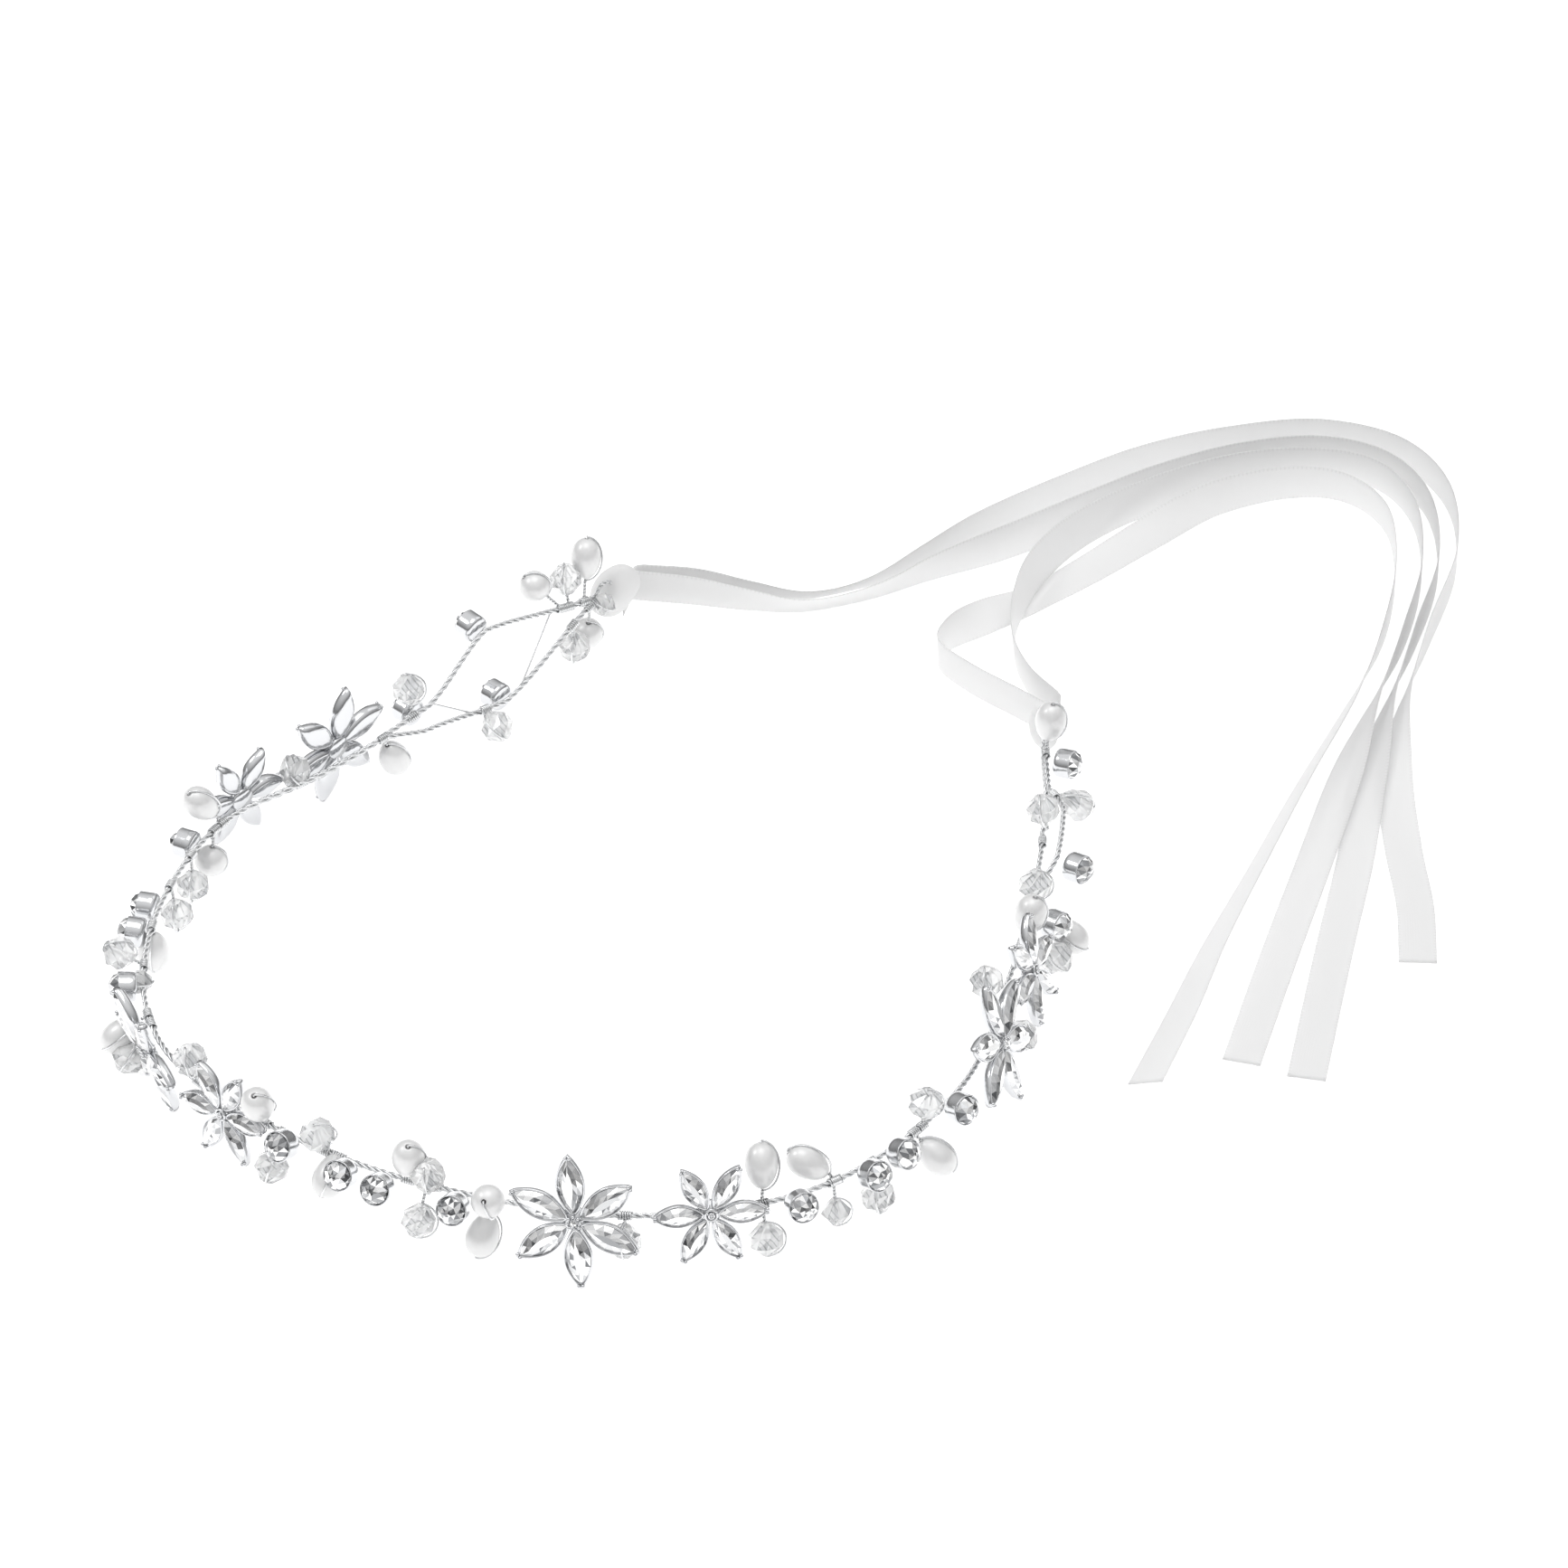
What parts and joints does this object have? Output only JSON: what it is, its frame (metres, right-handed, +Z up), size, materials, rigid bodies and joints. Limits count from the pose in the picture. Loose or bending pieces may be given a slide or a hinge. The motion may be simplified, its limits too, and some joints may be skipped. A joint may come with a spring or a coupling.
{
  "type": "flower crown",
  "caption": "Open-backed wire hair vine with cast stone flowers, stones in cups, pearls and crystals on wire stems, and two satin ribbons tied through its ends.",
  "frame": {"origin": "middle of the crown's outline, on the surface that it stands on, measured without the four ribbon tails", "axes": "+Z up, -Y out of the middle of the front, +X to the wearer's left; left in a node's name is -X, as seen from the front"},
  "size_m": [0.2342, 0.3177, 0.0274],
  "materials": {
    "silver_wire": "bright silver plate",
    "silver_setting": "bright silver-plated casting",
    "foiled_stone": "foiled clear stone in a bright plated cup",
    "clear_crystal": "faceted clear",
    "pearl": "satin pearl coat",
    "white_satin": "satin"
  },
  "bodies": {
    "front": {"front_wire": "silver_wire", "flower_large_3": "silver_setting", "flower_small_4": "silver_setting", "flower_large_5": "silver_setting", "flower_small_6": "silver_setting", "chaton_cup_5": "foiled_stone", "chaton_cup_6": "foiled_stone", "chaton_cup_7": "foiled_stone", "chaton_cup_8": "foiled_stone", "chaton_cup_9": "foiled_stone", "chaton_cup_10": "foiled_stone", "chaton_cup_11": "foiled_stone", "chaton_cup_12": "foiled_stone", "chaton_cup_13": "foiled_stone", "chaton_cup_14": "foiled_stone", "chaton_cup_15": "foiled_stone"},
    "left_arm": {"left_arm_wire": "silver_wire", "left_end_wire": "silver_wire", "left_ribbon_fold": "white_satin", "left_ribbon_outer_tail": "white_satin", "left_ribbon_inner_tail": "white_satin", "flower_large_1": "silver_setting", "flower_small_2": "silver_setting", "chaton_cup_1": "foiled_stone", "chaton_cup_2": "foiled_stone", "chaton_cup_3": "foiled_stone", "chaton_cup_4": "foiled_stone"},
    "right_arm": {"right_arm_wire": "silver_wire", "right_end_wire": "silver_wire", "right_ribbon_fold": "white_satin", "right_ribbon_folded_tail": "white_satin", "right_ribbon_straight_tail": "white_satin", "flower_large_7": "silver_setting", "flower_small_8": "silver_setting", "chaton_cup_16": "foiled_stone", "chaton_cup_17": "foiled_stone", "chaton_cup_18": "foiled_stone"},
    "pearl_1": {"pearl_1": "pearl"},
    "pearl_2": {"pearl_2": "pearl"},
    "pearl_3": {"pearl_3": "pearl"},
    "pearl_4": {"pearl_4": "pearl"},
    "pearl_5": {"pearl_5": "pearl"},
    "pearl_6": {"pearl_6": "pearl"},
    "crystal_1": {"crystal_1": "clear_crystal"},
    "crystal_2": {"crystal_2": "clear_crystal"},
    "crystal_3": {"crystal_3": "clear_crystal"},
    "crystal_4": {"crystal_4": "clear_crystal"},
    "crystal_5": {"crystal_5": "clear_crystal"},
    "crystal_6": {"crystal_6": "clear_crystal"},
    "crystal_7": {"crystal_7": "clear_crystal"},
    "pearl_7": {"pearl_7": "pearl"},
    "pearl_8": {"pearl_8": "pearl"},
    "pearl_9": {"pearl_9": "pearl"},
    "pearl_10": {"pearl_10": "pearl"},
    "pearl_11": {"pearl_11": "pearl"},
    "pearl_12": {"pearl_12": "pearl"},
    "pearl_13": {"pearl_13": "pearl"},
    "pearl_14": {"pearl_14": "pearl"},
    "crystal_8": {"crystal_8": "clear_crystal"},
    "crystal_9": {"crystal_9": "clear_crystal"}
  },
  "joints": [
    {"name": "left_arm_bend", "type": "hinge", "parent": "front", "child": "left_arm", "pos_m": [-0.08179, -0.02985, 0.011], "axis": [0, 0, 1], "range_deg": [-10, 20], "deforming": ["left_ribbon_outer_tail", "left_ribbon_inner_tail"]},
    {"name": "right_arm_bend", "type": "hinge", "parent": "front", "child": "right_arm", "pos_m": [0.08256, -0.01889, 0.011], "axis": [0, 0, -1], "range_deg": [-10, 20], "deforming": ["right_ribbon_folded_tail", "right_ribbon_straight_tail"]},
    {"name": "pearl_1_spin", "type": "hinge", "parent": "left_arm", "child": "pearl_1", "pos_m": [-0.05132, 0.08653, 0.0225], "axis": [-0.0929, 0.3101, 0.9462], "continuous": true},
    {"name": "pearl_2_spin", "type": "hinge", "parent": "left_arm", "child": "pearl_2", "pos_m": [-0.05727, 0.07526, 0.021], "axis": [-0.579, -0.3432, 0.7396], "continuous": true},
    {"name": "pearl_3_spin", "type": "hinge", "parent": "left_arm", "child": "pearl_3", "pos_m": [-0.05098, 0.08591, 0.0042], "axis": [-0.1762, 0.1767, -0.9684], "continuous": true},
    {"name": "pearl_4_spin", "type": "hinge", "parent": "left_arm", "child": "pearl_4", "pos_m": [-0.06636, 0.03081, 0.0046], "axis": [0.0938, 0.3905, -0.9158], "continuous": true},
    {"name": "pearl_5_spin", "type": "hinge", "parent": "left_arm", "child": "pearl_5", "pos_m": [-0.0846, -0.01375, 0.0175], "axis": [-0.3171, -0.4795, 0.8182], "continuous": true},
    {"name": "pearl_6_spin", "type": "hinge", "parent": "left_arm", "child": "pearl_6", "pos_m": [-0.0831, -0.01387, 0.004], "axis": [-0.0822, -0.1352, -0.9874], "continuous": true},
    {"name": "crystal_1_spin", "type": "hinge", "parent": "left_arm", "child": "crystal_1", "pos_m": [-0.06562, 0.03655, 0.018], "axis": [-0.2167, 0.1536, 0.9641], "continuous": true},
    {"name": "crystal_2_spin", "type": "hinge", "parent": "front", "child": "crystal_2", "pos_m": [-0.0772, -0.05846, 0.015], "axis": [-0.5774, -0.4874, 0.655], "continuous": true},
    {"name": "crystal_3_spin", "type": "hinge", "parent": "front", "child": "crystal_3", "pos_m": [-0.01603, -0.09029, 0.0165], "axis": [-0.0343, -0.34, 0.9398], "continuous": true},
    {"name": "crystal_4_spin", "type": "hinge", "parent": "front", "child": "crystal_4", "pos_m": [0.00538, -0.0914, 0.0045], "axis": [-0.036, -0.4226, -0.9056], "continuous": true},
    {"name": "crystal_5_spin", "type": "hinge", "parent": "front", "child": "crystal_5", "pos_m": [0.06543, -0.06782, 0.0045], "axis": [0.2493, -0.2582, -0.9333], "continuous": true},
    {"name": "crystal_6_spin", "type": "hinge", "parent": "front", "child": "crystal_6", "pos_m": [0.07359, -0.05524, 0.0044], "axis": [0.129, -0.0762, -0.9887], "continuous": true},
    {"name": "crystal_7_spin", "type": "hinge", "parent": "front", "child": "crystal_7", "pos_m": [0.08128, -0.03287, 0.0165], "axis": [0.1071, 0.0696, 0.9918], "continuous": true},
    {"name": "pearl_7_spin", "type": "hinge", "parent": "front", "child": "pearl_7", "pos_m": [-0.02885, -0.08982, 0.0185], "axis": [0.0952, -0.4432, 0.8913], "continuous": true},
    {"name": "pearl_8_spin", "type": "hinge", "parent": "front", "child": "pearl_8", "pos_m": [0.00328, -0.09054, 0.018], "axis": [0.1534, -0.2629, 0.9525], "continuous": true},
    {"name": "pearl_9_spin", "type": "hinge", "parent": "front", "child": "pearl_9", "pos_m": [0.01803, -0.08983, 0.0046], "axis": [-0.1373, -0.4441, -0.8854], "continuous": true},
    {"name": "pearl_10_spin", "type": "hinge", "parent": "front", "child": "pearl_10", "pos_m": [0.06201, -0.06291, 0.0172], "axis": [-0.2364, 0.4355, 0.8686], "continuous": true},
    {"name": "pearl_11_spin", "type": "hinge", "parent": "front", "child": "pearl_11", "pos_m": [0.06804, -0.05574, 0.0146], "axis": [-0.7874, -0.2847, 0.5467], "continuous": true},
    {"name": "pearl_12_spin", "type": "hinge", "parent": "front", "child": "pearl_12", "pos_m": [0.08448, -0.03461, 0.0062], "axis": [0.6631, 0.1645, -0.7303], "continuous": true},
    {"name": "pearl_13_spin", "type": "hinge", "parent": "right_arm", "child": "pearl_13", "pos_m": [0.07625, 0.02516, 0.018], "axis": [0.1879, 0.1153, 0.9754], "continuous": true},
    {"name": "pearl_14_spin", "type": "hinge", "parent": "right_arm", "child": "pearl_14", "pos_m": [0.05498, 0.08185, 0.019], "axis": [0.0923, 0.0465, 0.9946], "continuous": true},
    {"name": "crystal_8_spin", "type": "hinge", "parent": "right_arm", "child": "crystal_8", "pos_m": [0.07278, 0.03514, 0.017], "axis": [0.0386, 0.1791, 0.9831], "continuous": true},
    {"name": "crystal_9_spin", "type": "hinge", "parent": "right_arm", "child": "crystal_9", "pos_m": [0.06484, 0.07222, 0.0084], "axis": [0.4126, 0.6539, -0.6342], "continuous": true}
  ]
}
